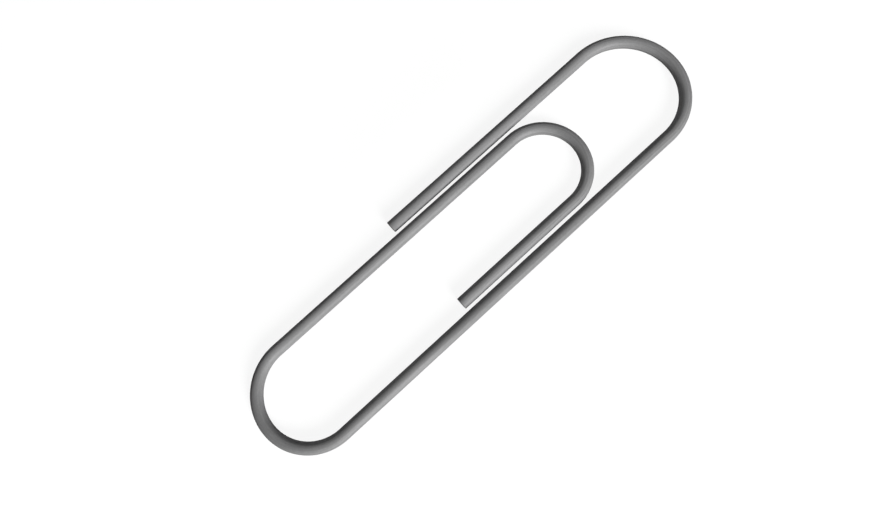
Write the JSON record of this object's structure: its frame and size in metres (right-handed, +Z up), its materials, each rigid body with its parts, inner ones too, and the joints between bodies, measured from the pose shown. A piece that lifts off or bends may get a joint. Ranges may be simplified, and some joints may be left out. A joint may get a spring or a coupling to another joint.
{
  "type": "paper clip",
  "caption": "Bent-wire paper clip: round steel wire folded flat into an outer loop and a sprung inner tongue that pinch sheets of paper between them.",
  "frame": {"origin": "on the surface that the clip lies on, under the middle of its length and width", "axes": "+X along the clip towards the outer bend, where paper goes in; +Y across the clip towards the outer free leg; +Z up, square to the clip's plane"},
  "size_m": [0.05, 0.012, 0.0011],
  "materials": {
    "plated_wire": "satin"
  },
  "bodies": {
    "backbone": {"long_leg": "plated_wire", "outer_bend_long_half": "plated_wire", "heel_bend_long_half": "plated_wire"},
    "outer_arm": {"outer_bend_free_half": "plated_wire", "outer_free_leg": "plated_wire"},
    "tongue": {"heel_bend_inner_half": "plated_wire", "inner_leg": "plated_wire", "inner_bend_leg_half": "plated_wire"},
    "tongue_tip": {"inner_bend_tip_half": "plated_wire", "inner_free_leg": "plated_wire"}
  },
  "joints": [
    {"name": "tongue_lift", "type": "hinge", "parent": "backbone", "child": "tongue", "pos_m": [-0.02442, -0.00072, 0.00057], "axis": [0, -1, 0], "range_deg": [-10, 10], "stiffness_Nm_per_rad": 0.45},
    {"name": "outer_arm_flex", "type": "hinge", "parent": "backbone", "child": "outer_arm", "pos_m": [0.02442, 0, 0.00057], "axis": [0, 1, 0], "range_deg": [-8, 8], "stiffness_Nm_per_rad": 0.71},
    {"name": "tongue_tip_flex", "type": "hinge", "parent": "tongue", "child": "tongue_tip", "pos_m": [0.01273, 0, 0.00057], "axis": [0, 1, 0], "range_deg": [-6, 6], "stiffness_Nm_per_rad": 1.04}
  ]
}
